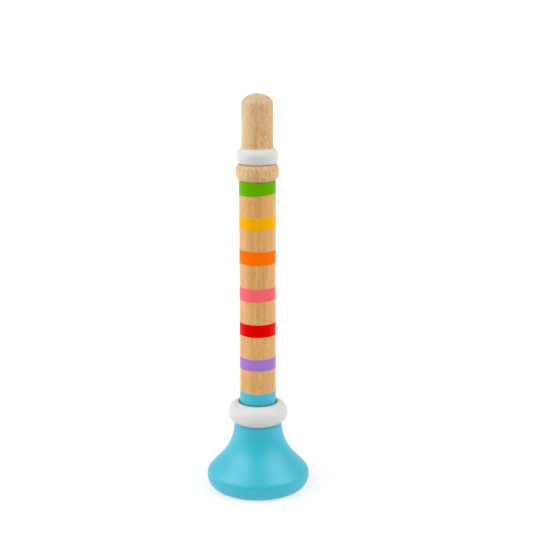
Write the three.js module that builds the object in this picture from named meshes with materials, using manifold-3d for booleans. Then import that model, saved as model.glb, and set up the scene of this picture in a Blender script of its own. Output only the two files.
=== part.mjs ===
// A child's straight wooden horn, standing on its bell. Turned beech pieces are glued end to
// end: a domed mouthpiece, two rings, a dowel barrel, a ring and a flared bell. A small reed
// unit is held in the top of the barrel. Millimetres, +Z up, origin at the centre of the base.

import * as THREE from "three";
import { mergeVertices } from "three/addons/utils/BufferGeometryUtils.js";
import Module from "manifold-3d";

const wasm = await Module();
wasm.setup();

// ---- Driving dimensions ----

const GAP = 0.3; // glue line or running gap between neighbouring pieces
const TURNS = 40; // facets around a turned piece
const CORNER_STEPS = 5; // facets along a rounded corner

// Heights above the table
const SOCKET_FLOOR = 25; // the barrel's lower end stands here, inside the bell
const BELL_TOP = 47.8;
const BELL_RING_TOP = 62.5;
const BARREL_TOP = 219.9;
const COLLAR_TOP = 231.2;
const WHITE_RING_TOP = 241.7;
const DOME_START = 271.2;

// Radii
const BARREL_R = 12.5;
const BORE_R = 6.5;
const RIM_R = 36;
const FOOT_R = 28.6;
const NECK_R = 16.75;
const BELL_RING_R = 20.95;
const COLLAR_R = 14.64;
const WHITE_RING_R = 14.26;
const MOUTHPIECE_R = 10.77;
const BLOW_HOLE_R = 2.5;

// The mouthpiece's tenon, which passes through both upper rings into the barrel
const TENON_R = 7.7;
const TENON_END = 205.8;
const REED_CHAMBER_R = 5.5; // bore of the tenon, around the reed

// The reed unit
const FLANGE_THICK = 2.5;
const SHALLOT_R = 3.6;
const SHALLOT_WALL = 0.9;
const SHALLOT_LENGTH = 24;
const FACE_Y = -1; // the flat face that the tongue beats on looks along -Y
const TONGUE_WIDTH = 5;
const TONGUE_THICK = 0.3;
const TONGUE_STANDOFF = 0.35; // from the face to the tongue, at the hinge line
const TONGUE_LIFT = THREE.MathUtils.degToRad(1.5); // how far the tongue leans off its face

// ---- Materials ----

const material = (color, roughness, metalness = 0) =>
  new THREE.MeshStandardMaterial({ color, roughness, metalness });

const PALE_BEECH = material("#dcbb90", 0.55);
const WARM_BEECH = material("#d3a167", 0.55);
const SKY_BLUE = material("#47bfd6", 0.4);
const WHITE = material("#dcdcd6", 0.4);
const IVORY_PLASTIC = material("#e4e0d0", 0.45);
const BRASS = material("#c9a550", 0.35, 1);

// ---- Profile helpers: points are (radius, height) ----

const point = (radius, height) => new THREE.Vector2(radius, height);

// An elliptic arc, from one angle to the other in degrees, with 0 outwards and 90 upwards
function arc(radius, height, wide, tall, from, to, steps = CORNER_STEPS) {
  const points = [];
  for (let i = 0; i <= steps; i++) {
    const angle = THREE.MathUtils.degToRad(from + ((to - from) * i) / steps);
    points.push(point(radius + wide * Math.cos(angle), height + tall * Math.sin(angle)));
  }
  return points;
}

function curve(start, startHandle, endHandle, end, steps) {
  return new THREE.CubicBezierCurve(start, startHandle, endHandle, end).getPoints(steps);
}

// Turns a profile that goes up the outside and down the inside, and closes on itself
function turned(profile) {
  return new THREE.LatheGeometry([...profile, profile[0].clone()], TURNS).rotateX(Math.PI / 2);
}

// ---- Joins and cuts ----

function solid(geometry) {
  geometry.deleteAttribute("normal");
  geometry.deleteAttribute("uv");
  const merged = mergeVertices(geometry);
  const vertProperties = new Float32Array(merged.attributes.position.array);
  const triVerts = new Uint32Array(merged.index.array);
  return new wasm.Manifold(new wasm.Mesh({ numProp: 3, vertProperties, triVerts }));
}

function geometryOf(manifold) {
  const mesh = manifold.getMesh();
  const geometry = new THREE.BufferGeometry();
  geometry.setAttribute("position", new THREE.BufferAttribute(mesh.vertProperties, 3));
  geometry.setIndex(new THREE.BufferAttribute(mesh.triVerts, 1));
  return geometry;
}

// ---- Bell, from the base up ----

const RIM_HEIGHT = 8.6; // height of the widest line
const SHOULDER = 12.4; // where the rim wall turns into the flare
const SHOULDER_R = 35.1;
const MOUTH_R = 25.6;

function bellGeometry() {
  const rimWidth = RIM_R - FOOT_R;
  const rim = arc(FOOT_R, RIM_HEIGHT, rimWidth, RIM_HEIGHT, -90, 0, 7);
  const flare = curve(
    point(SHOULDER_R, SHOULDER),
    point(SHOULDER_R - 4.4, SHOULDER + 6.6),
    point(NECK_R, BELL_TOP - 20.5),
    point(NECK_R, BELL_TOP),
    12
  );
  const socketR = BARREL_R + GAP;
  const socket = [point(socketR, BELL_TOP), point(socketR, SOCKET_FLOOR)];
  const bore = curve(
    point(BORE_R, SOCKET_FLOOR),
    point(BORE_R, SOCKET_FLOOR - 12),
    point(MOUTH_R - 8, 5.5),
    point(MOUTH_R, 0),
    8
  );
  return turned([...rim, ...flare, ...socket, ...bore]);
}

// ---- Barrel: a dowel drilled through, with a wider seat for the reed and the tenon ----

const BARREL_BOTTOM = SOCKET_FLOOR + GAP;
const REED_SEAT = TENON_END - FLANGE_THICK - 2 * GAP;
const EDGE_BREAK = 0.5; // small chamfer on a sawn edge

function barrelGeometry() {
  const height = BARREL_TOP - BARREL_BOTTOM;
  const seat = REED_SEAT - BARREL_BOTTOM;
  const seatR = TENON_R + GAP;
  return turned([
    point(BORE_R, 0),
    point(BARREL_R - EDGE_BREAK, 0),
    point(BARREL_R, EDGE_BREAK),
    point(BARREL_R, height),
    point(seatR, height),
    point(seatR, seat),
    point(BORE_R, seat),
  ]);
}

// ---- Rings: each has a straight bore, a flat seat above and below, and rounded corners ----

// A corner has a width and a height, and past is how far its curve would go beyond the seat
// that cuts it off.
const cutOff = (corner) => THREE.MathUtils.radToDeg(Math.asin(1 - corner.past / corner.tall));

function ringGeometry(boreR, height, outerR, low, high) {
  const lowCentre = low.tall - low.past;
  const highCentre = height - high.tall + high.past;
  return turned([
    point(boreR, 0),
    ...arc(outerR - low.wide, lowCentre, low.wide, low.tall, -cutOff(low), 0),
    ...arc(outerR - high.wide, highCentre, high.wide, high.tall, 0, cutOff(high)),
    point(boreR, height),
  ]);
}

const BELL_RING_BOTTOM = BELL_TOP + GAP;
const BELL_RING_WIDEST = 54.35; // height of its widest line
const BEAD_LOWER = 6.95; // height of its round section below that line, before the seat cuts it

// The bell's ring is a bead: nearly half a round, cut flat where it sits on the bell
function bellRingGeometry() {
  const boreR = BARREL_R + GAP;
  const innerR = boreR + GAP;
  const reach = BELL_RING_R - innerR;
  const widest = BELL_RING_WIDEST - BELL_RING_BOTTOM;
  const upperTall = BELL_RING_TOP - BELL_RING_WIDEST;
  const seat = THREE.MathUtils.radToDeg(Math.asin(widest / BEAD_LOWER));
  const lower = arc(innerR, widest, reach, BEAD_LOWER, -seat, 0, 6);
  const upper = arc(innerR, widest, reach, upperTall, 0, 90, 8).slice(1);
  return turned([point(boreR, 0), ...lower, ...upper, point(boreR, widest + upperTall)]);
}

const COLLAR_BOTTOM = BARREL_TOP + GAP;
const COLLAR_LOW = { wide: 2.3, tall: 5.3, past: 0 };
const COLLAR_HIGH = { wide: 2.9, tall: 5, past: 0 };
const WHITE_RING_BOTTOM = COLLAR_TOP + GAP;
const WHITE_RING_LOW = { wide: 2, tall: 3.9, past: 0 };
const WHITE_RING_HIGH = { wide: 6, tall: 5.85, past: 0.65 };

function collarGeometry() {
  const height = COLLAR_TOP - COLLAR_BOTTOM;
  return ringGeometry(TENON_R + GAP, height, COLLAR_R, COLLAR_LOW, COLLAR_HIGH);
}

function whiteRingGeometry() {
  const height = WHITE_RING_TOP - WHITE_RING_BOTTOM;
  return ringGeometry(TENON_R + GAP, height, WHITE_RING_R, WHITE_RING_LOW, WHITE_RING_HIGH);
}

// ---- Mouthpiece: tenon, small foot, straight shaft and dome, drilled from both ends ----

const DOME_TALL = 7;
const FOOT_FLARE = 0.4; // how far the foot stands out from the shaft
const FOOT_TALL = 1.2;
const BLOW_HOLE_DEPTH = 16;

function mouthpieceGeometry() {
  const shoulder = WHITE_RING_TOP + GAP - TENON_END;
  const domeStart = DOME_START - TENON_END;
  const holeAngle = THREE.MathUtils.radToDeg(Math.acos(BLOW_HOLE_R / MOUTHPIECE_R));
  const dome = arc(0, domeStart, MOUTHPIECE_R, DOME_TALL, 0, holeAngle, 7);
  const holeBottom = dome[dome.length - 1].y - BLOW_HOLE_DEPTH;
  const chamberTop = holeBottom - (REED_CHAMBER_R - BLOW_HOLE_R);
  return turned([
    point(REED_CHAMBER_R, 0),
    point(TENON_R - EDGE_BREAK, 0),
    point(TENON_R, EDGE_BREAK),
    point(TENON_R, shoulder),
    point(MOUTHPIECE_R + FOOT_FLARE, shoulder),
    point(MOUTHPIECE_R, shoulder + FOOT_TALL),
    ...dome,
    point(BLOW_HOLE_R, holeBottom),
    point(REED_CHAMBER_R, chamberTop),
  ]);
}

// ---- Reed unit: heights here are from the underside of its flange ----

const CLAMP_TALL = 4;
const CLAMP_R = 4.9;
const CLAMP_BOTTOM = FLANGE_THICK + GAP;
const CLAMP_TOP = CLAMP_BOTTOM + CLAMP_TALL;
const HINGE_HEIGHT = CLAMP_TOP + GAP;
const TONGUE_ROOT = 3.8; // length below the hinge line, held in the clamp
const TONGUE_FREE = 17.5; // length above it
const TONGUE_Y = FACE_Y - TONGUE_STANDOFF - TONGUE_THICK / 2;
const SLOT_WIDTH = 3;

// A round outline of the given radius, cut off flat at the given y
function flattedRound(radius, flatY) {
  const angle = Math.asin(flatY / radius);
  const shape = new THREE.Shape();
  shape.absarc(0, 0, radius, angle, Math.PI - angle, false);
  shape.closePath();
  return shape;
}

function extruded(shape, height, lift) {
  const settings = { depth: height, bevelEnabled: false, curveSegments: 16 };
  return new THREE.ExtrudeGeometry(shape, settings).translate(0, 0, lift);
}

// The shallot is a closed D-shaped tube on a round flange, with a slot in its flat face
function reedHolderGeometry() {
  const channelR = SHALLOT_R - SHALLOT_WALL;
  const top = FLANGE_THICK + SHALLOT_LENGTH;
  const flange = new THREE.CylinderGeometry(TENON_R, TENON_R, FLANGE_THICK, TURNS)
    .rotateX(Math.PI / 2)
    .translate(0, 0, FLANGE_THICK / 2);
  const shallot = extruded(flattedRound(SHALLOT_R, FACE_Y), SHALLOT_LENGTH + 1, FLANGE_THICK - 1);
  const channelShape = flattedRound(channelR, FACE_Y + SHALLOT_WALL);
  const channel = extruded(channelShape, top - SHALLOT_WALL + 1, -1);
  const slotBottom = HINGE_HEIGHT + 1.5;
  const slotTop = top - 3;
  const slot = new THREE.BoxGeometry(SLOT_WIDTH, 2, slotTop - slotBottom);
  slot.translate(0, FACE_Y, (slotTop + slotBottom) / 2);
  const body = solid(flange).add(solid(shallot));
  return geometryOf(body.subtract(solid(channel)).subtract(solid(slot)));
}

// The clamp is a ring that goes over the shallot and the root of the tongue
function reedClampGeometry() {
  const ring = flattedRound(CLAMP_R, -CLAMP_R + EDGE_BREAK);
  const hole = flattedRound(SHALLOT_R + GAP, TONGUE_Y - TONGUE_THICK / 2 - TONGUE_STANDOFF);
  const cutter = extruded(hole, CLAMP_TALL + 2, -1);
  return geometryOf(solid(extruded(ring, CLAMP_TALL, 0)).subtract(solid(cutter)));
}

// The tongue's own origin is on its hinge line
function reedTongueGeometry() {
  const length = TONGUE_ROOT + TONGUE_FREE;
  const strip = new THREE.BoxGeometry(TONGUE_WIDTH, TONGUE_THICK, length);
  return strip.translate(0, 0, length / 2 - TONGUE_ROOT);
}

// ---- Assembly ----

function piece(name, geometry, finish, height) {
  const mesh = new THREE.Mesh(geometry, finish);
  mesh.name = name;
  mesh.position.z = height;
  return mesh;
}

function reedUnit() {
  const unit = new THREE.Group();
  const tongue = piece("reed_tongue", reedTongueGeometry(), BRASS, HINGE_HEIGHT);
  tongue.position.y = TONGUE_Y;
  tongue.rotation.x = TONGUE_LIFT;
  unit.add(
    piece("reed_holder", reedHolderGeometry(), IVORY_PLASTIC, 0),
    piece("reed_clamp", reedClampGeometry(), IVORY_PLASTIC, CLAMP_BOTTOM),
    tongue
  );
  unit.position.z = REED_SEAT + GAP;
  return unit;
}

const horn = new THREE.Group();
horn.add(
  piece("bell", bellGeometry(), SKY_BLUE, 0),
  piece("bell_ring", bellRingGeometry(), WHITE, BELL_RING_BOTTOM),
  piece("barrel", barrelGeometry(), WARM_BEECH, BARREL_BOTTOM),
  piece("barrel_collar", collarGeometry(), PALE_BEECH, COLLAR_BOTTOM),
  piece("mouthpiece_ring", whiteRingGeometry(), WHITE, WHITE_RING_BOTTOM),
  piece("mouthpiece", mouthpieceGeometry(), PALE_BEECH, TENON_END),
  reedUnit()
);

export default horn;
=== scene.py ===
"""A child's turned wooden horn: fine turned meshes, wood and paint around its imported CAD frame."""

import math
import random

import bmesh
import bpy
from bpy.props import FloatProperty, FloatVectorProperty, IntProperty, PointerProperty
from mathutils import Matrix, Vector


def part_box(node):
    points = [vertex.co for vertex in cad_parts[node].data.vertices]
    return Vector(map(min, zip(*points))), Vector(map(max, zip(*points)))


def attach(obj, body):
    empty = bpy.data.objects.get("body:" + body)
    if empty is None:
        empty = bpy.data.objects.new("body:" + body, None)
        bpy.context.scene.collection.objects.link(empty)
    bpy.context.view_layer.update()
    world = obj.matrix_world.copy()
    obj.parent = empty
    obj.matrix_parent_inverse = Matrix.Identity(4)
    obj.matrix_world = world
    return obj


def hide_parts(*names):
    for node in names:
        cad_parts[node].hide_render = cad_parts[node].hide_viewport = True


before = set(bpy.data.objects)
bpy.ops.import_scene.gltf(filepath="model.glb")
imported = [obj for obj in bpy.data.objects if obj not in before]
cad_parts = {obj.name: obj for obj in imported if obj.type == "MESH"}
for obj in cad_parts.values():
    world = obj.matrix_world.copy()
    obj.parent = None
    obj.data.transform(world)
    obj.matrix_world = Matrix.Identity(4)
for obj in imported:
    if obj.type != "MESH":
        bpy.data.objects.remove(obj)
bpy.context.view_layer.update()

bl_info = {
    "name": "Turned Toy Horn",
    "version": (1, 0, 0),
    "blender": (4, 5, 0),
    "location": "View3D > Sidebar > Toy Horn",
    "description": "Builds a turned wooden toy horn around its frame",
    "category": "Object",
}

MM = 0.001


# ---------------------------------------------------------------- sizes from the frame


def low_of(node):
    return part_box(node)[0].z


def high_of(node):
    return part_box(node)[1].z


def radius_of(node):
    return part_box(node)[1].x


# ---------------------------------------------------------------- colours

WHITE = (1, 1, 1, 1)


def linear(hex_colour):
    """An sRGB hex colour as linear red, green and blue, with an alpha of 1."""
    channels = [int(hex_colour[i : i + 2], 16) / 255 for i in (1, 3, 5)]
    values = [c / 12.92 if c <= 0.04045 else ((c + 0.055) / 1.055) ** 2.4 for c in channels]
    return (*values, 1.0)


def colour_property(name, description, hex_colour):
    return FloatVectorProperty(
        name=name,
        description=description,
        subtype="COLOR",
        size=4,
        min=0,
        max=1,
        default=linear(hex_colour),
    )


def length_property(name, description, millimetres):
    return FloatProperty(
        name=name,
        description=description,
        unit="LENGTH",
        precision=5,
        min=0,
        default=millimetres * MM,
    )


# ---------------------------------------------------------------- what a user would change


class HornSizes(bpy.types.PropertyGroup):
    """Sizes of the pieces, where the frame doesn't fix them"""

    facets: IntProperty(
        name="Facets", description="Facets around a turned piece", default=160, min=32
    )
    bore: length_property("Bore", "Radius of the hole through the barrel", 6.5)
    blow_hole: length_property("Blow hole", "Radius of the hole in the dome", 2.5)
    foot: length_property("Foot", "Radius of the circle that the bell stands on", 28.6)
    mouth: length_property("Mouth", "Radius of the bell's opening", 25.6)
    neck: length_property("Neck", "Radius of the bell's narrow top", 16.75)
    edge: length_property("Edge", "Rounding of a sanded edge", 0.5)
    film: length_property("Paint film", "How far a painted band stands proud", 0.06)
    wander: length_property("Band wander", "How far a band's edge strays", 0.12)


class HornColours(bpy.types.PropertyGroup):
    """Colours of the wood and the paints"""

    pale_wood: colour_property("Pale beech", "Mouthpiece and collar", "#D9BE93")
    warm_wood: colour_property("Warm beech", "Barrel", "#E0AC66")
    bell: colour_property("Sky blue", "Bell and lowest band", "#00AEC6")
    rings: colour_property("White", "Both white rings", "#D1D2CF")
    green: colour_property("Green", "Top band", "#60AA00")
    yellow: colour_property("Yellow", "Second band", "#F0AB00")
    orange: colour_property("Orange", "Third band", "#FD6D00")
    pink: colour_property("Pink", "Fourth band", "#F2646C")
    red: colour_property("Red", "Fifth band", "#DF0000")
    purple: colour_property("Purple", "Sixth band", "#A074C4")


class StageSettings(bpy.types.PropertyGroup):
    """Camera, lamps and floor"""

    distance: FloatProperty(
        name="Distance", description="Camera to barrel, level", unit="LENGTH", default=0.9
    )
    height: FloatProperty(
        name="Height", description="Camera above the floor", unit="LENGTH", default=0.3788
    )
    pitch: FloatProperty(
        name="Pitch",
        description="Camera tilt below level",
        subtype="ANGLE",
        default=math.radians(13.70),
    )
    yaw: FloatProperty(
        name="Yaw",
        description="Camera turn to the right of the horn",
        subtype="ANGLE",
        default=math.radians(0.387),
    )
    roll: FloatProperty(
        name="Roll", description="Camera roll", subtype="ANGLE", default=math.radians(0.08)
    )
    lens: FloatProperty(name="Lens", description="Focal length in mm", default=91.25)
    box_power: FloatProperty(name="Softboxes", description="Watts of each softbox", default=7.0)
    left_panel: FloatProperty(name="Left panel", description="Watts, left wall", default=1.4)
    right_panel: FloatProperty(name="Right panel", description="Watts, right wall", default=0.6)
    surround: FloatProperty(name="Surround", description="Room light, all round", default=0.3)
    front: FloatProperty(name="Front", description="Extra light, above the camera", default=0.5)
    behind: FloatProperty(name="Behind", description="Extra light, behind the horn", default=0.6)
    left: FloatProperty(name="Left", description="Extra light from the left", default=0.2)


# ---------------------------------------------------------------- outlines: (radius, height)

# the Bezier handle that makes a nearly circular quarter
ROUND_HANDLE = 0.55
CORNER_STEPS = 4
# the share of a join's length that its handles may take up
JOIN_HANDLE = 0.4


def arc(radius, height, wide, tall, start, end, steps):
    """An elliptic arc between two angles in degrees, with 0 outwards and 90 upwards."""
    angles = [math.radians(start + (end - start) * i / steps) for i in range(steps + 1)]
    return [(radius + wide * math.cos(a), height + tall * math.sin(a)) for a in angles]


def curve(start, start_handle, end_handle, end, steps):
    """A cubic Bezier curve as points."""
    points = []
    for i in range(steps + 1):
        t = i / steps
        weights = ((1 - t) ** 3, 3 * (1 - t) ** 2 * t, 3 * (1 - t) * t * t, t**3)
        ends = (start, start_handle, end_handle, end)
        points.append(tuple(sum(w * p[k] for w, p in zip(weights, ends)) for k in (0, 1)))
    return points


def softened(before, corner, after, amount):
    """The rounded corner that replaces a sharp one, as points from one side to the other."""
    corner = Vector(corner)
    reach = [(Vector(p) - corner).normalized() * amount for p in (before, after)]
    start, end = corner + reach[0], corner + reach[1]
    handles = [point.lerp(corner, ROUND_HANDLE) for point in (start, end)]
    return curve(start, *handles, end, CORNER_STEPS)


def rounded(corners, amount):
    """A closed outline of sharp corners, with every corner rounded."""
    points = []
    count = len(corners)
    for i, corner in enumerate(corners):
        points += softened(corners[i - 1], corner, corners[(i + 1) % count], amount)
    return points


def blended(first, second, reach, steps):
    """A smooth join from the end of one run of points to the start of the next."""
    start, end = Vector(first[-1]), Vector(second[0])
    leaving = (start - Vector(first[-2])).normalized()
    arriving = (Vector(second[1]) - end).normalized()
    pull = min(reach, (end - start).length * JOIN_HANDLE)
    return curve(start, start + leaving * pull, end - arriving * pull, end, steps)[1:-1]


# ---------------------------------------------------------------- meshes

SHARP_ANGLE = math.radians(40)
# numbers of a piece's materials: its finish, and the bare wood of its holes
FINISH, HOLE = 0, 1


def finished(name, mesh_data, materials, body, slot, *replaced):
    """Puts a piece in the scene, riding on its body in place of its CAD nodes."""
    mesh = bpy.data.meshes.new(name)
    mesh_data.to_mesh(mesh)
    mesh_data.free()
    for material in materials:
        mesh.materials.append(material)
    piece = bpy.data.objects.new(name, mesh)
    bpy.context.scene.collection.objects.link(piece)
    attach(piece, body)
    if replaced:
        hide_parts(*replaced)


def shade(mesh_data):
    """Smooth faces, with a crease only where two faces meet at a sharp angle."""
    bmesh.ops.recalc_face_normals(mesh_data, faces=mesh_data.faces)
    for face in mesh_data.faces:
        face.smooth = True
    for edge in mesh_data.edges:
        edge.smooth = len(edge.link_faces) == 2 and edge.calc_face_angle() < SHARP_ANGLE


def turned(stretches, facets, shift=None):
    """A closed outline spun around the axis. Each stretch is (material number, points), and
    shift, if given, is the lift of a point from its angle and its place along the outline."""
    outline = []
    numbers = []
    for number, points in stretches:
        outline += points
        numbers += [number] * len(points)
    made = bmesh.new()
    rings = []
    for i in range(facets):
        angle = math.tau * i / facets
        ring = []
        for j, (radius, height) in enumerate(outline):
            lift = shift(angle, j) if shift else 0
            place = (radius * math.cos(angle), radius * math.sin(angle), height + lift)
            ring.append(made.verts.new(place))
        rings.append(ring)
    for i in range(facets):
        here, there = rings[i], rings[(i + 1) % facets]
        for j in range(len(outline)):
            k = (j + 1) % len(outline)
            face = made.faces.new((here[j], there[j], there[k], here[k]))
            face.material_index = numbers[j]
    shade(made)
    return made


# ---------------------------------------------------------------- materials

# Sizes of the patterns: width across the grain, then length along it. Beech's pores and rays
# are mostly under 0.3 mm wide, and spark grain and rolling lines under 0.1 mm. All of them are
# too fine to show, so each is drawn wider than it is.
BROAD_STREAK = (3.5 * MM, 60 * MM)
FINE_STREAK = (0.6 * MM, 9 * MM)
FLECK = (0.8 * MM, 3.6 * MM)
FLECK_PATCH = (5 * MM, 16 * MM)
VEIN_WAVE = (9 * MM, 9 * MM)
PAINT_MOTTLE = (2.5 * MM, 2.5 * MM)
PAINT_PEEL = (0.8 * MM, 0.8 * MM)
RIPPLE_WIDTH = 0.6 * MM
PLASTIC_CLOUD = (4 * MM, 4 * MM)
SPARK_GRAIN = (0.25 * MM, 0.25 * MM)
ROLLING_LINE = (0.12 * MM, 8 * MM)
ACRYLIC_CLOUD = (400 * MM, 400 * MM)

GRAIN_DEPTH = 0.02 * MM
RIPPLE_DEPTH = 0.015 * MM
PEEL_DEPTH = 0.01 * MM
SPARK_DEPTH = 0.01 * MM
ROLLING_DEPTH = 0.004 * MM

VEIN_ACROSS = -0.4 * MM
VEIN_HALF_WIDTH = 0.45 * MM
VEIN_WAVER = 0.6 * MM
VEIN_FRONT = -2 * MM
VEIN_LOW = 242 * MM
VEIN_HIGH = 262 * MM
VEIN_DARKNESS = 0.4
# painted highlight: between these heights the dome's top is mixed towards a paler, less red colour,
# in place of its gloss
DOME_HIGHLIGHT_FROM = 267 * MM
DOME_HIGHLIGHT_TO = 275 * MM
DOME_HIGHLIGHT_STRENGTH = 0.8
DOME_HIGHLIGHT = "#C8B394"
LEAN_LEFT = -8 * MM
LEAN_RIGHT = 6 * MM

# The floor's own light rises with the distance from the horn, from its near to its far
# strength, and fades out in front of the horn.
GLOW_FROM = 50 * MM
GLOW_TO = 450 * MM
NEAR_GLOW = 0.6
FAR_GLOW = 0.95
FRONT_LIT = -140 * MM
FRONT_DARK = -400 * MM

LACQUER = {"IOR": 1.5, "Coat Weight": 0.4, "Coat Roughness": 0.35, "Coat IOR": 1.5}
BELL_GLOSS = {"Specular IOR Level": 0.85, "Sheen Weight": 0.08, "Sheen Roughness": 0.3}
WHITE_GLOSS = {"Specular IOR Level": 0.3, "Sheen Weight": 0.05, "Sheen Roughness": 0.4}
BAND_GLOSS = {"Specular IOR Level": 0.06, "Sheen Weight": 0.42, "Sheen Roughness": 0.3}
# the closer to 0, the whiter a band's sheen
SHEEN_COLOUR_POWER = 0.15


def add(tree, kind, inputs=None, **settings):
    """Adds a node with its settings. Each input is set to a value, or linked from a socket or
    from the first output in use of another node."""
    node = tree.nodes.new(kind)
    for name, value in settings.items():
        setattr(node, name, value)
    in_use = [socket for socket in node.inputs if socket.enabled]
    for key, value in (inputs or {}).items():
        socket = in_use[key] if isinstance(key, int) else next(s for s in in_use if s.name == key)
        if isinstance(value, bpy.types.Node):
            value = next(s for s in value.outputs if s.enabled)
        if isinstance(value, bpy.types.NodeSocket):
            tree.links.new(value, socket)
        else:
            socket.default_value = value
    return node


def new_material(name):
    """A material without nodes, and its tree."""
    material = bpy.data.materials.new(name)
    material.use_nodes = True
    material.node_tree.nodes.clear()
    return material, material.node_tree


def surfaced(material, inputs):
    """The material closed by its shader, whose constants are set on the shader's own sockets."""
    shader = add(material.node_tree, "ShaderNodeBsdfPrincipled", inputs)
    add(material.node_tree, "ShaderNodeOutputMaterial", {"Surface": shader})
    return material


def grain_scale(size):
    """The scale at which one unit is a pattern's width across the grain and length along it."""
    width, length = size
    return (1 / width, 1 / width, 1 / length)


def streaks(tree, place, size, detail=2.0):
    """Soft noise drawn out along the grain, from 0 to 1."""
    vector = add(tree, "ShaderNodeMapping", {"Vector": place, "Scale": grain_scale(size)})
    noise = {"Vector": vector, "Scale": 1.0, "Detail": detail, "Roughness": 0.5}
    return add(tree, "ShaderNodeTexNoise", noise)


def flecks(tree, place, share):
    """Short dashes along the grain: an elongated cell is kept where its own random number is
    under the share, and only its middle shows."""
    vector = add(tree, "ShaderNodeMapping", {"Vector": place, "Scale": grain_scale(FLECK)})
    cells = add(tree, "ShaderNodeTexVoronoi", {"Vector": vector, "Scale": 1.0, "Randomness": 1.0})
    middle = add(
        tree,
        "ShaderNodeMapRange",
        {"Value": cells.outputs["Distance"], "From Min": 0.62, "From Max": 0.1},
        interpolation_type="SMOOTHSTEP",
    )
    lucky = add(tree, "ShaderNodeSeparateColor", {"Color": cells.outputs["Color"]})
    kept = add(tree, "ShaderNodeMath", {0: lucky, 1: share}, operation="LESS_THAN")
    return add(tree, "ShaderNodeMath", {0: middle, 1: kept}, operation="MULTIPLY")


def shifted(colour, factor):
    """The same colour, lighter or darker."""
    return (*(min(1.0, c * factor) for c in colour[:3]), 1.0)


def hue_of(colour):
    """A colour with its strongest channel at full strength."""
    peak = max(colour[:3])
    return (*(c / peak for c in colour[:3]), 1.0)


def vein(tree, place):
    """One thin dark line down the front, wavering a little, that fades towards the bottom."""
    x, y, z = add(tree, "ShaderNodeSeparateXYZ", {"Vector": place}).outputs
    middle = add(
        tree,
        "ShaderNodeMapRange",
        {
            "Value": streaks(tree, place, VEIN_WAVE),
            "To Min": VEIN_ACROSS - VEIN_WAVER,
            "To Max": VEIN_ACROSS + VEIN_WAVER,
        },
        interpolation_type="SMOOTHSTEP",
    )
    off = add(tree, "ShaderNodeMath", {0: x, 1: middle}, operation="SUBTRACT")
    shown = VEIN_DARKNESS
    for value, nothing, full in (
        (add(tree, "ShaderNodeMath", {0: off}, operation="ABSOLUTE"), VEIN_HALF_WIDTH, 0.0),
        (y, 0.0, VEIN_FRONT),
        (z, VEIN_LOW, VEIN_HIGH),
    ):
        limits = {"Value": value, "From Min": nothing, "From Max": full}
        part = add(tree, "ShaderNodeMapRange", limits, interpolation_type="SMOOTHSTEP")
        shown = add(tree, "ShaderNodeMath", {0: part, 1: shown}, operation="MULTIPLY")
    return shown


def beech(name, colour, dark, fleck, fleck_share, offset, lean=0.0, domed=False):
    """Beech, sanded and lacquered clear: the pores and rays show as orange-brown dashes a few
    millimetres long under a thin satin coat, over soft streaks along the grain. The offset
    keeps pieces from sharing their grain, and lean makes the dashes denser on the right. A
    domed piece also has one dark vein, and a painted highlight: its top is painted paler and
    less red, in place of the gloss that catches the light there."""
    material, tree = new_material(name)
    whole = add(tree, "ShaderNodeTexCoord").outputs["Object"]
    across, _, height = add(tree, "ShaderNodeSeparateXYZ", {"Vector": whole}).outputs
    place = add(tree, "ShaderNodeMapping", {"Vector": whole, "Location": offset})
    broad = add(
        tree,
        "ShaderNodeMapRange",
        {
            "Value": streaks(tree, place, BROAD_STREAK),
            "From Min": 0.35,
            "From Max": 0.7,
            "To Max": 0.6,
        },
        interpolation_type="SMOOTHSTEP",
    )
    fine = add(
        tree,
        "ShaderNodeMapRange",
        {"Value": streaks(tree, place, FINE_STREAK, 3.0), "From Min": 0.3, "From Max": 0.72},
        interpolation_type="SMOOTHSTEP",
    )
    half_fine = add(tree, "ShaderNodeMath", {0: fine, 1: 0.5}, operation="MULTIPLY")
    patches = add(
        tree,
        "ShaderNodeMapRange",
        {"Value": streaks(tree, place, FLECK_PATCH), "From Min": 0.25, "From Max": 0.52},
        interpolation_type="SMOOTHSTEP",
    )
    side = add(
        tree,
        "ShaderNodeMapRange",
        {"Value": across, "From Min": LEAN_LEFT, "From Max": LEAN_RIGHT, "To Min": 1.0 - lean},
        interpolation_type="SMOOTHSTEP",
    )
    dashes = add(
        tree,
        "ShaderNodeMath",
        {0: flecks(tree, place, fleck_share), 1: patches},
        operation="MULTIPLY",
    )
    marks = add(tree, "ShaderNodeMath", {0: dashes, 1: side}, operation="MULTIPLY")
    layers = [(broad, dark), (half_fine, dark)]
    if domed:
        # painted highlight: paler and less red towards the dome's top, standing in for its gloss
        limits = {"Value": height, "From Min": DOME_HIGHLIGHT_FROM, "From Max": DOME_HIGHLIGHT_TO}
        painted_dome_highlight = add(
            tree,
            "ShaderNodeMapRange",
            {**limits, "To Max": DOME_HIGHLIGHT_STRENGTH},
            interpolation_type="SMOOTHSTEP",
        )
        layers.append((painted_dome_highlight, linear(DOME_HIGHLIGHT)))
    layers.append((marks, fleck))
    if domed:
        layers.append((vein(tree, whole), dark))
    wood = colour
    for share, tint in layers:
        layer = {"Factor": share, "A": wood, "B": tint}
        wood = add(tree, "ShaderNodeMix", layer, data_type="RGBA")
    rough = add(
        tree,
        "ShaderNodeMapRange",
        {"Value": fine, "To Min": 0.5, "To Max": 0.6},
        interpolation_type="SMOOTHSTEP",
    )
    grain = add(tree, "ShaderNodeBump", {"Height": fine, "Distance": GRAIN_DEPTH})
    return surfaced(
        material, {**LACQUER, "Base Color": wood, "Roughness": rough, "Normal": grain}
    )


def band_gloss(colour):
    """Thin paint soaked into the dowel: weak gloss in the paint's own hue, and a paler sheen."""
    hue = hue_of(colour)
    sheen = [c**SHEEN_COLOUR_POWER for c in hue]
    return {**BAND_GLOSS, "Specular Tint": hue, "Sheen Tint": sheen}


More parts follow.
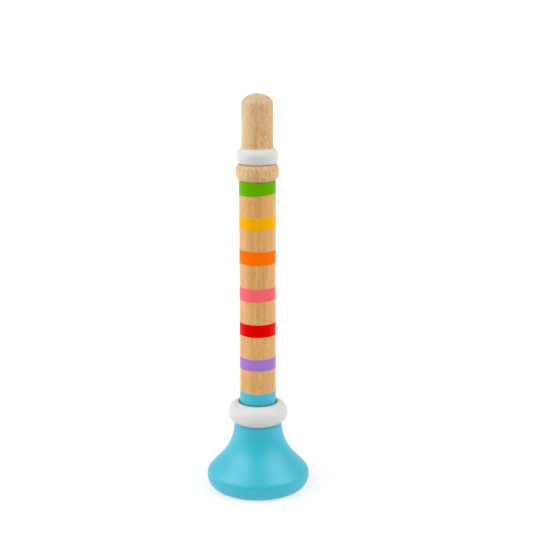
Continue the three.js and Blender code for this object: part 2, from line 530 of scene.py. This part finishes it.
def satin_paint(name, colour, grain_length, gloss):
    """Water-based satin paint sprayed on turned beech: an even colour with a very slight
    mottle, a soft sheen that whitens towards the edges, and the wood's grain showing through
    as a faint ripple."""
    material, tree = new_material(name)
    place = add(tree, "ShaderNodeTexCoord").outputs["Object"]
    mottle = streaks(tree, place, PAINT_MOTTLE, 3.0)
    tones = {"Factor": mottle, "A": shifted(colour, 0.95), "B": shifted(colour, 1.05)}
    paint = add(tree, "ShaderNodeMix", tones, data_type="RGBA")
    peel = streaks(tree, place, PAINT_PEEL)
    rough = add(
        tree,
        "ShaderNodeMapRange",
        {"Value": peel, "From Min": 0.2, "From Max": 0.8, "To Min": 0.38, "To Max": 0.45},
        interpolation_type="SMOOTHSTEP",
    )
    ripple = streaks(tree, place, (RIPPLE_WIDTH, grain_length))
    under = add(tree, "ShaderNodeBump", {"Height": ripple, "Distance": RIPPLE_DEPTH})
    skin = add(
        tree, "ShaderNodeBump", {"Height": peel, "Distance": PEEL_DEPTH, "Normal": under}
    )
    return surfaced(
        material, {**gloss, "Base Color": paint, "Roughness": rough, "Normal": skin}
    )


def moulded_plastic(name, colour):
    """Moulded ABS: even, slightly grainy from a spark-eroded mould, half dull."""
    material, tree = new_material(name)
    place = add(tree, "ShaderNodeTexCoord").outputs["Object"]
    cloud = streaks(tree, place, PLASTIC_CLOUD)
    tones = {"Factor": cloud, "A": shifted(colour, 0.96), "B": shifted(colour, 1.03)}
    tint = add(tree, "ShaderNodeMix", tones, data_type="RGBA")
    spark = streaks(tree, place, SPARK_GRAIN)
    rough = add(
        tree,
        "ShaderNodeMapRange",
        {"Value": spark, "From Min": 0.2, "From Max": 0.8, "To Min": 0.42, "To Max": 0.52},
        interpolation_type="SMOOTHSTEP",
    )
    grain = add(tree, "ShaderNodeBump", {"Height": spark, "Distance": SPARK_DEPTH})
    return surfaced(
        material, {"IOR": 1.53, "Base Color": tint, "Roughness": rough, "Normal": grain}
    )


def rolled_brass(name, colour):
    """Brass strip: rolling leaves fine lines along its length, which dull it one way."""
    material, tree = new_material(name)
    place = add(tree, "ShaderNodeTexCoord").outputs["Object"]
    lines = streaks(tree, place, ROLLING_LINE, 3.0)
    tones = {"Factor": lines, "A": shifted(colour, 0.92), "B": shifted(colour, 1.04)}
    tint = add(tree, "ShaderNodeMix", tones, data_type="RGBA")
    rough = add(
        tree,
        "ShaderNodeMapRange",
        {"Value": lines, "From Min": 0.2, "From Max": 0.8, "To Min": 0.24, "To Max": 0.38},
        interpolation_type="SMOOTHSTEP",
    )
    relief = add(tree, "ShaderNodeBump", {"Height": lines, "Distance": ROLLING_DEPTH})
    return surfaced(
        material, {"Metallic": 1.0, "Base Color": tint, "Roughness": rough, "Normal": relief}
    )


def light_table(name):
    """Opal acrylic of a light table: matt and even, lit from below except near its front."""
    material, tree = new_material(name)
    place = add(tree, "ShaderNodeTexCoord").outputs["Object"]
    cloud = streaks(tree, place, ACRYLIC_CLOUD)
    tones = {"Factor": cloud, "A": linear("#A6A6A6"), "B": linear("#AAAAAA")}
    tint = add(tree, "ShaderNodeMix", tones, data_type="RGBA")
    away = add(tree, "ShaderNodeVectorMath", {0: place}, operation="LENGTH")
    around = add(
        tree,
        "ShaderNodeMapRange",
        {
            "Value": away,
            "From Min": GLOW_FROM,
            "From Max": GLOW_TO,
            "To Min": NEAR_GLOW,
            "To Max": FAR_GLOW,
        },
        interpolation_type="SMOOTHSTEP",
    )
    depth = add(tree, "ShaderNodeSeparateXYZ", {"Vector": place}).outputs["Y"]
    front = add(
        tree,
        "ShaderNodeMapRange",
        {"Value": depth, "From Min": FRONT_DARK, "From Max": FRONT_LIT},
        interpolation_type="SMOOTHSTEP",
    )
    glow = add(tree, "ShaderNodeMath", {0: around, 1: front}, operation="MULTIPLY")
    return surfaced(
        material,
        {
            "IOR": 1.45,
            "Base Color": tint,
            "Roughness": 0.9,
            "Emission Color": WHITE,
            "Emission Strength": glow,
        },
    )


def bare_wood(colours):
    """Unpainted beech in holes and sockets, shared by every painted piece."""
    known = bpy.data.materials.get("beech_drilled")
    if known:
        return known
    return beech(
        "beech_drilled",
        colours.warm_wood,
        dark=linear("#B98650"),
        fleck=linear("#96602E"),
        fleck_share=0.2,
        offset=(0.3, 0, 0),
    )


# ---------------------------------------------------------------- bell

RIM_HEIGHT = 8.6 * MM
RIM_TO_ANGLE = 12
RIM_STEPS = 36
SHOULDER_HEIGHT = 12.4 * MM
SHOULDER_R = 35.1 * MM
SHOULDER_SOFT = 3.0 * MM
SHOULDER_STEPS = 10
# how far the flare's Bezier handles reach: in and up from the shoulder, and down from the neck
FLARE_IN = 4.4 * MM
FLARE_UP = 6.6 * MM
NECK_DOWN = 20.5 * MM
FLARE_STEPS = 60
# points of the flare that the softened shoulder takes the place of
FLARE_CUT = 6
SOCKET_FLOOR = 25 * MM
SOCKET_GAP = 0.3 * MM
NECK_EDGE = 0.15 * MM
MOUTH_EDGE = 0.9 * MM
# how far the bore's handles reach: down from the socket, and in and up from the mouth
BORE_DOWN = 12 * MM
MOUTH_IN = 8 * MM
MOUTH_UP = 5.5 * MM
BORE_STEPS = 48
# the paint ends where the bore is this much wider than its drill
PAINT_ENDS = 1.12
BELL_GRAIN = 12 * MM


def bell_outside(sizes):
    """The rim, the shoulder, the flare and the narrow top's edge."""
    rim_r = radius_of("bell")
    top = high_of("bell")
    rim = arc(
        sizes.foot, RIM_HEIGHT, rim_r - sizes.foot, RIM_HEIGHT, -90, RIM_TO_ANGLE, RIM_STEPS
    )
    flare = curve(
        (SHOULDER_R, SHOULDER_HEIGHT),
        (SHOULDER_R - FLARE_IN, SHOULDER_HEIGHT + FLARE_UP),
        (sizes.neck, top - NECK_DOWN),
        (sizes.neck, top - NECK_EDGE),
        FLARE_STEPS,
    )[FLARE_CUT:]
    shoulder = blended(rim, flare, SHOULDER_SOFT, SHOULDER_STEPS)
    edge = softened((sizes.neck, 0), (sizes.neck, top), (0, top), NECK_EDGE)
    return rim + shoulder + flare + edge


def bell_inside(sizes):
    """The socket with the drilled bore below it, then the painted funnel out to the mouth."""
    top = high_of("bell")
    socket_r = radius_of("barrel") + SOCKET_GAP
    socket = softened((sizes.neck, top), (socket_r, top), (socket_r, 0), sizes.edge)
    bore = curve(
        (sizes.bore, SOCKET_FLOOR),
        (sizes.bore, SOCKET_FLOOR - BORE_DOWN),
        (sizes.mouth - MOUTH_IN, MOUTH_UP),
        (sizes.mouth, 0),
        BORE_STEPS,
    )
    drilled = [point for point in bore if point[0] < sizes.bore * PAINT_ENDS]
    funnel = bore[len(drilled) : -2]
    mouth = softened(bore[-3], (sizes.mouth, 0), (sizes.foot, 0), MOUTH_EDGE)
    return [*socket, (socket_r, SOCKET_FLOOR), *drilled], funnel + mouth


class HORN_OT_bell(bpy.types.Operator):
    """Turn the bell: a rounded rim, a flare, a socket for the barrel and an open mouth"""

    bl_idname = "horn.bell"
    bl_label = "Bell"

    def execute(self, context):
        sizes = context.scene.horn_sizes
        colours = context.scene.horn_colours
        bare, painted = bell_inside(sizes)
        stretches = [(FINISH, bell_outside(sizes)), (HOLE, bare), (FINISH, painted)]
        mesh = turned(stretches, sizes.facets)
        paint = satin_paint(
            "satin_blue_paint_on_turned_beech", colours.bell, BELL_GRAIN, BELL_GLOSS
        )
        finished("turned_bell", mesh, [paint, bare_wood(colours)], "horn", "sky_blue_paint", "bell")
        return {"FINISHED"}


# ---------------------------------------------------------------- rings

BEAD_WIDEST = 54.35 * MM
BEAD_LOWER = 6.95 * MM
BEAD_LIP = 1.8 * MM
BEAD_GAP = 0.12 * MM
# each corner's width, its height, and how far its curve would go past the seat that cuts it
COLLAR_LOW = (2.3 * MM, 5.3 * MM, 0)
COLLAR_HIGH = (2.9 * MM, 5.0 * MM, 0)
WHITE_RING_LOW = (2.0 * MM, 3.9 * MM, 0)
WHITE_RING_HIGH = (6.0 * MM, 5.85 * MM, 0.65 * MM)
TENON_HOLE_R = 8.0 * MM
RING_GRAIN = 5 * MM
# glue leaves a ring nearly touching the piece below it
GLUE_DROP = 0.295 * MM
RING_STEPS = 16
BEAD_TOP_ANGLE = 84
BEAD_LOW_STEPS = 24
BEAD_HIGH_STEPS = 30


def bead_outline(node, hole_r, edge):
    """A bead of two quarter ellipses, cut flat underneath, as (outside, hole)."""
    low, high = low_of(node) - GLUE_DROP, high_of(node)
    start_r = radius_of("barrel") + 2 * SOCKET_GAP
    reach = radius_of(node) - start_r
    seat = math.degrees(math.asin((BEAD_WIDEST - low) / BEAD_LOWER))
    outside = arc(start_r, BEAD_WIDEST, reach, BEAD_LOWER, -seat, 0, BEAD_LOW_STEPS)
    upper = high - BEAD_WIDEST
    outside += arc(start_r, BEAD_WIDEST, reach, upper, 0, BEAD_TOP_ANGLE, BEAD_HIGH_STEPS)[1:]
    top = softened(outside[-1], (hole_r, high), (hole_r, low), edge)
    bottom = softened((hole_r, high), (hole_r, low), (outside[0][0], low), edge)
    return outside, top + bottom


def cut_off(corner):
    """The angle in degrees at which a corner's curve meets its seat."""
    _, tall, past = corner
    return math.degrees(math.asin(1 - past / tall))


def ring_outline(node, hole_r, lower, upper, edge):
    """A ring with rounded outer corners, as (outside, hole)."""
    low, high = low_of(node) - GLUE_DROP, high_of(node)
    radius = radius_of(node)
    wide, tall, past = lower
    centre = low + tall - past
    outside = arc(radius - wide, centre, wide, tall, -cut_off(lower), 0, RING_STEPS)
    wide, tall, past = upper
    centre = high - tall + past
    outside += arc(radius - wide, centre, wide, tall, 0, cut_off(upper), RING_STEPS)
    top = softened(outside[-1], (hole_r, high), (hole_r, low), edge)
    bottom = softened((hole_r, high), (hole_r, low), outside[0], edge)
    return outside, top + bottom


class HORN_OT_rings(bpy.types.Operator):
    """Turn the bead on the bell, the natural collar and the white ring above it"""

    bl_idname = "horn.rings"
    bl_label = "Rings"

    def execute(self, context):
        sizes = context.scene.horn_sizes
        colours = context.scene.horn_colours
        white = satin_paint(
            "satin_white_paint_on_turned_beech", colours.rings, RING_GRAIN, WHITE_GLOSS
        )
        hole_r = radius_of("barrel") + BEAD_GAP
        outside, hole = bead_outline("bell_ring", hole_r, BEAD_LIP)
        mesh = turned([(FINISH, outside), (HOLE, hole)], sizes.facets)
        materials = [white, bare_wood(colours)]
        finished("white_bead", mesh, materials, "horn", "white_paint", "bell_ring")
        outside, hole = ring_outline(
            "mouthpiece_ring", TENON_HOLE_R, WHITE_RING_LOW, WHITE_RING_HIGH, sizes.edge
        )
        mesh = turned([(FINISH, outside), (HOLE, hole)], sizes.facets)
        finished("white_ring", mesh, materials, "horn", "white_paint", "mouthpiece_ring")
        outside, hole = ring_outline(
            "barrel_collar", TENON_HOLE_R, COLLAR_LOW, COLLAR_HIGH, sizes.edge
        )
        mesh = turned([(FINISH, outside + hole)], sizes.facets)
        wood = beech(
            "beech_collar_lacquered",
            colours.pale_wood,
            dark=linear("#CA9450"),
            fleck=linear("#CA7E24"),
            fleck_share=0.95,
            offset=(0.11, 0.07, 0.013),
        )
        finished("beech_collar", mesh, [wood], "horn", "pale_beech", "barrel_collar")
        return {"FINISHED"}


# ---------------------------------------------------------------- barrel and its bands

SEAT_R = 8.0 * MM
SEAT_HEIGHT = 202.7 * MM


class HORN_OT_barrel(bpy.types.Operator):
    """Cut the dowel barrel, drilled through and widened at the top for the reed"""

    bl_idname = "horn.barrel"
    bl_label = "Barrel"

    def execute(self, context):
        sizes = context.scene.horn_sizes
        colours = context.scene.horn_colours
        low, high = low_of("barrel"), high_of("barrel")
        radius = radius_of("barrel")
        corners = [
            (radius, low),
            (radius, high),
            (SEAT_R, high),
            (SEAT_R, SEAT_HEIGHT),
            (sizes.bore, SEAT_HEIGHT),
            (sizes.bore, low),
        ]
        mesh = turned([(FINISH, rounded(corners, sizes.edge))], sizes.facets)
        wood = beech(
            "beech_dowel_lacquered",
            colours.warm_wood,
            dark=linear("#C68A3E"),
            fleck=linear("#C58843"),
            fleck_share=0.25,
            offset=(0.02, 0.05, 0),
        )
        finished("dowel_barrel", mesh, [wood], "horn", "warm_beech", "barrel")
        return {"FINISHED"}


# name, slot, lower and upper edge in mm, and how steeply each of these edges leans
BANDS = (
    ("green", "green_paint", 210.4, 219.8, 0.055, 0.0),
    ("yellow", "yellow_paint", 187.2, 195.5, 0.0, 0.0),
    ("orange", "orange_paint", 162.65, 172.2, 0.0, -0.019),
    ("pink", "pink_paint", 137.1, 146.1, 0.026, 0.0),
    ("red", "red_paint", 111.95, 120.9, 0.0, 0.0),
    ("purple", "purple_paint", 87.8, 96.0, 0.0, 0.0),
    ("blue", "sky_blue_paint", 56.0, 71.0, 0.0, 0.0),
)
BAND_SEED = 7
BAND_WAVES = 4
WEAKEST_WAVE = 0.3
BAND_GRAIN = 14 * MM


def wandering_edge(draw, amount):
    """A height that strays smoothly around the barrel, as a function of angle."""
    waves = []
    for count in range(1, BAND_WAVES + 1):
        start = draw.uniform(0, math.tau)
        waves.append((count, start, draw.uniform(WEAKEST_WAVE, 1)))
    scale = amount / sum(strength for _, _, strength in waves)
    return lambda angle: scale * sum(s * math.sin(n * angle + p) for n, p, s in waves)


def band_mesh(barrel_r, low, high, low_lean, high_lean, sizes, draw):
    """A thin sleeve of paint, just over the wood, with hand-masked edges."""
    skin = barrel_r + sizes.film
    under = barrel_r - sizes.film
    outline = [
        (under, low),
        (barrel_r, low),
        (skin, low + sizes.film),
        (skin, (low + high) / 2),
        (skin, high - sizes.film),
        (barrel_r, high),
        (under, high),
    ]
    low_edge = wandering_edge(draw, sizes.wander)
    high_edge = wandering_edge(draw, sizes.wander)
    middle = len(outline) // 2

    def shift(angle, j):
        across = barrel_r * math.cos(angle)
        if j < middle:
            return low_edge(angle) + across * low_lean
        if j > middle:
            return high_edge(angle) + across * high_lean
        return 0

    return turned([(FINISH, outline)], sizes.facets, shift)


class HORN_OT_bands(bpy.types.Operator):
    """Paint the seven bands on the barrel"""

    bl_idname = "horn.bands"
    bl_label = "Painted bands"

    def execute(self, context):
        sizes = context.scene.horn_sizes
        colours = context.scene.horn_colours
        barrel_r = radius_of("barrel")
        draw = random.Random(BAND_SEED)
        for name, slot, low, high, low_lean, high_lean in BANDS:
            colour = colours.bell if name == "blue" else getattr(colours, name)
            mesh = band_mesh(barrel_r, low * MM, high * MM, low_lean, high_lean, sizes, draw)
            gloss = BELL_GLOSS if name == "blue" else band_gloss(colour)
            paint = satin_paint(f"satin_{name}_paint_on_dowel", colour, BAND_GRAIN, gloss)
            finished(f"{name}_band", mesh, [paint], "horn", slot)
        return {"FINISHED"}


# ---------------------------------------------------------------- mouthpiece

TENON_R = 7.7 * MM
CHAMBER_R = 5.5 * MM
FOOT_FLARE = 0.4 * MM
FOOT_TALL = 1.6 * MM
DOME_TALL = 7.0 * MM
HOLE_DEPTH = 16 * MM
FOOT_STEPS = 8
DOME_STEPS = 30
# the foot's Bezier handles, as shares of its flare and its height
FOOT_LOW_HANDLE = (0.7, 0.3)
FOOT_HIGH_HANDLE = (0.0, 0.5)


def mouthpiece_outside(sizes, shoulder):
    """The foot that flares a little, the straight shaft and the dome, up to the blow hole."""
    radius = radius_of("mouthpiece") - FOOT_FLARE
    corners = ((1, 0), FOOT_LOW_HANDLE, FOOT_HIGH_HANDLE, (0, 1))
    foot = curve(
        *((radius + FOOT_FLARE * out, shoulder + FOOT_TALL * up) for out, up in corners),
        FOOT_STEPS,
    )
    hole_angle = math.degrees(math.acos((sizes.blow_hole + sizes.edge) / radius))
    dome_start = high_of("mouthpiece") - DOME_TALL
    return foot + arc(0, dome_start, radius, DOME_TALL, 0, hole_angle, DOME_STEPS)


def mouthpiece_inside(sizes, shoulder, hole_edge):
    """The blow hole, the wider breath chamber below it and the tenon."""
    low = low_of("mouthpiece")
    hole_top = hole_edge[1]
    hole_low = hole_top - HOLE_DEPTH
    hole_r = sizes.blow_hole
    lip = softened(hole_edge, (hole_r, hole_top), (hole_r, hole_low), sizes.edge)
    cone = [(hole_r, hole_low), (CHAMBER_R, hole_low - (CHAMBER_R - hole_r))]
    chamber = softened(cone[1], (CHAMBER_R, low), (TENON_R, low), sizes.edge)
    tenon = softened((CHAMBER_R, low), (TENON_R, low), (TENON_R, shoulder), sizes.edge)
    return [*lip[1:], *cone, *chamber, *tenon, (TENON_R, shoulder)]


class HORN_OT_mouthpiece(bpy.types.Operator):
    """Turn the domed mouthpiece with its blow hole and its tenon"""

    bl_idname = "horn.mouthpiece"
    bl_label = "Mouthpiece"

    def execute(self, context):
        sizes = context.scene.horn_sizes
        colours = context.scene.horn_colours
        shoulder = high_of("mouthpiece_ring") + SOCKET_GAP - GLUE_DROP
        outside = mouthpiece_outside(sizes, shoulder)
        inside = mouthpiece_inside(sizes, shoulder, outside[-1])
        mesh = turned([(FINISH, outside + inside)], sizes.facets)
        wood = beech(
            "beech_mouthpiece_lacquered",
            colours.pale_wood,
            dark=linear("#C99654"),
            fleck=linear("#CA8026"),
            fleck_share=0.95,
            offset=(0.07, 0.031, 0.02),
            lean=0.6,
            domed=True,
        )
        finished("domed_mouthpiece", mesh, [wood], "horn", "pale_beech", "mouthpiece")
        return {"FINISHED"}


# ---------------------------------------------------------------- reed unit

PLASTIC_EDGE = 0.12 * MM
BRASS_EDGE = 0.05 * MM
FLAT_ANGLE = math.radians(1)
CREASE_ANGLE = math.radians(35)
SAME_POINT = 0.001 * MM
EDGE_STEPS = 3


def eased(node, edge):
    """A small hidden piece with the frame's shape, whose sharp edges are rounded off."""
    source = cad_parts[node]
    made = bmesh.new()
    made.from_mesh(source.data)
    made.transform(source.matrix_world)
    bmesh.ops.remove_doubles(made, verts=made.verts, dist=SAME_POINT)
    bmesh.ops.dissolve_limit(
        made, angle_limit=FLAT_ANGLE, verts=made.verts, edges=made.edges
    )
    creases = [
        e for e in made.edges if len(e.link_faces) == 2 and e.calc_face_angle() > CREASE_ANGLE
    ]
    bmesh.ops.bevel(
        made,
        geom=creases,
        offset=edge,
        segments=EDGE_STEPS,
        profile=0.5,
        affect="EDGES",
        clamp_overlap=True,
    )
    shade(made)
    return made


class HORN_OT_reed(bpy.types.Operator):
    """Finish the hidden reed unit: holder, clamp and brass tongue"""

    bl_idname = "horn.reed"
    bl_label = "Reed unit"

    def execute(self, context):
        plastic = moulded_plastic("moulded_ivory_abs", linear("#E4E0D0"))
        brass = rolled_brass("rolled_brass_strip", linear("#D8B35C"))
        for name, node, material, edge, body, slot in (
            ("moulded_holder", "reed_holder", plastic, PLASTIC_EDGE, "horn", "reed_plastic"),
            ("moulded_clamp", "reed_clamp", plastic, PLASTIC_EDGE, "horn", "reed_plastic"),
            ("brass_tongue", "reed_tongue", brass, BRASS_EDGE, "reed", "reed_brass"),
        ):
            finished(name, eased(node, edge), [material], body, slot, node)
        return {"FINISHED"}


# ---------------------------------------------------------------- stage

FLOOR_HALF = 12.0
FLOOR_CELLS = 8
FLOOR_DROP = 0.02 * MM
# where the softboxes and the side panels stand around the horn, and their widths and heights
BOX_ANGLE = math.radians(66)
BOX_ELEVATION = math.radians(43)
BOX_DISTANCE = 1.1
BOX_SIZE = (1.0, 0.9)
PANEL_ANGLE = math.radians(97)
PANEL_DISTANCE = 0.8
PANEL_SIZE = (0.7, 0.8)
SENSOR_WIDTH = 36
NEAREST, FARTHEST = 0.01, 100


def towards(angle, elevation):
    """A direction from the horn, with angle 0 towards the camera and a quarter turn right."""
    level = math.cos(elevation)
    return Vector((math.sin(angle) * level, -math.cos(angle) * level, math.sin(elevation)))


def softbox(name, place, aim, size, power):
    """A large rectangular lamp, turned to face a point."""
    lamp = bpy.data.lights.new(name, "AREA")
    lamp.shape = "RECTANGLE"
    lamp.size, lamp.size_y = size
    lamp.energy = power
    holder = bpy.data.objects.new(name, lamp)
    holder.location = place
    holder.rotation_euler = (aim - place).to_track_quat("-Z", "Y").to_euler()
    bpy.context.scene.collection.objects.link(holder)


def add_floor():
    made = bmesh.new()
    bmesh.ops.create_grid(made, x_segments=FLOOR_CELLS, y_segments=FLOOR_CELLS, size=FLOOR_HALF)
    bmesh.ops.translate(made, vec=(0, 0, -FLOOR_DROP), verts=made.verts)
    mesh = bpy.data.meshes.new("floor")
    made.to_mesh(mesh)
    made.free()
    mesh.materials.append(light_table("opal_acrylic_light_table"))
    floor = bpy.data.objects.new("floor", mesh)
    bpy.context.scene.collection.objects.link(floor)


def add_camera(settings):
    data = bpy.data.cameras.new("camera")
    data.lens = settings.lens
    data.sensor_width = SENSOR_WIDTH
    data.clip_start = NEAREST
    data.clip_end = FARTHEST
    camera = bpy.data.objects.new("camera", data)
    turn = Matrix.Rotation(-settings.yaw, 4, "Z")
    tilt = Matrix.Rotation(math.pi / 2 - settings.pitch, 4, "X")
    roll = Matrix.Rotation(-settings.roll, 4, "Z")
    place = Matrix.Translation((0, -settings.distance, settings.height))
    camera.matrix_world = place @ turn @ tilt @ roll
    bpy.context.scene.collection.objects.link(camera)
    bpy.context.scene.camera = camera


def add_surround(settings):
    """A white room, brighter above the camera, behind the horn and on the left."""
    world = bpy.data.worlds.new("white_room")
    world.use_nodes = True
    tree = world.node_tree
    tree.nodes.clear()
    outwards = add(tree, "ShaderNodeTexCoord").outputs["Generated"]
    x, y, z = add(tree, "ShaderNodeSeparateXYZ", {"Vector": outwards}).outputs
    leftward, forward, backward, upward = (
        add(tree, "ShaderNodeMapRange", {"Value": value, "From Max": full})
        for value, full in ((x, -1.0), (y, -1.0), (y, 1.0), (z, 1.0))
    )
    above = add(tree, "ShaderNodeMath", {0: forward, 1: upward}, operation="MULTIPLY")
    sideways = add(tree, "ShaderNodeMath", {0: leftward, 1: leftward}, operation="MULTIPLY")
    total = settings.surround
    for glow, strength in (
        (above, settings.front),
        (backward, settings.behind),
        (sideways, settings.left),
    ):
        terms = {0: glow, 1: strength, 2: total}
        total = add(tree, "ShaderNodeMath", terms, operation="MULTIPLY_ADD")
    light = add(tree, "ShaderNodeBackground", {"Color": WHITE, "Strength": total})
    add(tree, "ShaderNodeOutputWorld", {"Surface": light})
    bpy.context.scene.world = world


class HORN_OT_stage(bpy.types.Operator):
    """Set the white floor, the softboxes, the side panels and the camera"""

    bl_idname = "horn.stage"
    bl_label = "Stage"

    def execute(self, context):
        settings = context.scene.horn_stage
        context.scene.view_settings.view_transform = "Standard"
        add_floor()
        add_surround(settings)
        aim = Vector((0, 0, high_of("mouthpiece") / 2))
        panel_middle = Vector((0, 0, PANEL_SIZE[1] / 2))
        for name, side, panel_power in (
            ("left", -1, settings.left_panel),
            ("right", 1, settings.right_panel),
        ):
            box = aim + towards(side * BOX_ANGLE, BOX_ELEVATION) * BOX_DISTANCE
            softbox(f"{name}_softbox", box, aim, BOX_SIZE, settings.box_power)
            panel = panel_middle + towards(side * PANEL_ANGLE, 0) * PANEL_DISTANCE
            softbox(f"{name}_panel", panel, panel_middle, PANEL_SIZE, panel_power)
        add_camera(settings)
        return {"FINISHED"}


# ---------------------------------------------------------------- panel and registration


class HORN_PT_panel(bpy.types.Panel):
    """Sizes, colours and a button for each piece"""

    bl_idname = "HORN_PT_panel"
    bl_label = "Toy Horn"
    bl_space_type = "VIEW_3D"
    bl_region_type = "UI"
    bl_category = "Toy Horn"

    def draw(self, context):
        scene = context.scene
        for group in (scene.horn_sizes, scene.horn_colours, scene.horn_stage):
            box = self.layout.box()
            for name in group.__annotations__:
                box.prop(group, name)
        for operator in OPERATORS:
            self.layout.operator(operator.bl_idname)


GROUPS = (HornSizes, HornColours, StageSettings)
OPERATORS = (
    HORN_OT_stage,
    HORN_OT_bell,
    HORN_OT_rings,
    HORN_OT_barrel,
    HORN_OT_bands,
    HORN_OT_mouthpiece,
    HORN_OT_reed,
)
CLASSES = (*GROUPS, *OPERATORS, HORN_PT_panel)


def register():
    for item in CLASSES:
        bpy.utils.register_class(item)
    bpy.types.Scene.horn_sizes = PointerProperty(type=HornSizes)
    bpy.types.Scene.horn_colours = PointerProperty(type=HornColours)
    bpy.types.Scene.horn_stage = PointerProperty(type=StageSettings)


def unregister():
    del bpy.types.Scene.horn_stage
    del bpy.types.Scene.horn_colours
    del bpy.types.Scene.horn_sizes
    for item in reversed(CLASSES):
        bpy.utils.unregister_class(item)


def main():
    register()
    bpy.ops.horn.stage()
    bpy.ops.horn.bell()
    bpy.ops.horn.rings()
    bpy.ops.horn.barrel()
    bpy.ops.horn.bands()
    bpy.ops.horn.mouthpiece()
    bpy.ops.horn.reed()


if __name__ == "__main__":
    main()
